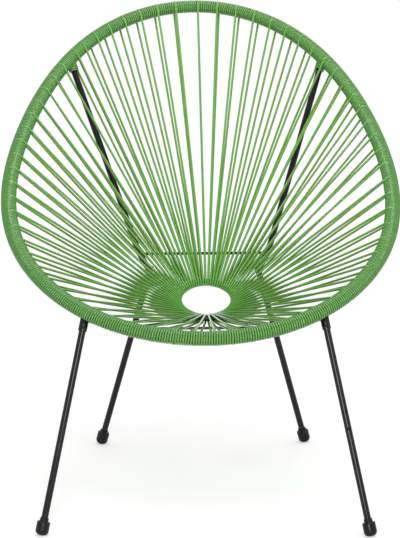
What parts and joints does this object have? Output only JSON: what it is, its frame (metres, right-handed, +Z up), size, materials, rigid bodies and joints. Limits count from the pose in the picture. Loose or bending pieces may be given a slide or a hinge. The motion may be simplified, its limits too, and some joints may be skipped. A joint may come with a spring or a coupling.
{
  "type": "acapulco chair",
  "caption": "Low lounge chair: a tilted egg-shaped steel hoop wound with cord, stretched cords gathered on a small ring as the seat, and splayed tube legs with foot caps.",
  "frame": {"origin": "on the floor, under the middle of the chair's overall width and depth", "axes": "+Z up, the sitter faces -Y, +X to the right of someone who looks at the chair from the front"},
  "size_m": [0.7276, 0.814, 0.8583],
  "materials": {
    "green_cord": "semi-gloss",
    "black_steel": "satin",
    "black_cap": "matte"
  },
  "bodies": {
    "root": {"cord_back": "green_cord", "cord_right": "green_cord", "cord_front": "green_cord", "cord_left": "green_cord", "rim_hoop": "black_steel", "centre_ring": "black_steel", "back_stay_left": "black_steel", "front_sleeve_left": "black_steel", "front_leg_left": "black_steel", "rear_leg_left": "black_steel", "back_stay_right": "black_steel", "front_sleeve_right": "black_steel", "front_leg_right": "black_steel", "rear_leg_right": "black_steel", "rod_upper": "black_steel", "rod_lower": "black_steel", "brace_bent": "black_steel", "front_foot_left": "black_cap", "rear_foot_left": "black_cap", "front_foot_right": "black_cap", "rear_foot_right": "black_cap"}
  },
  "joints": []
}
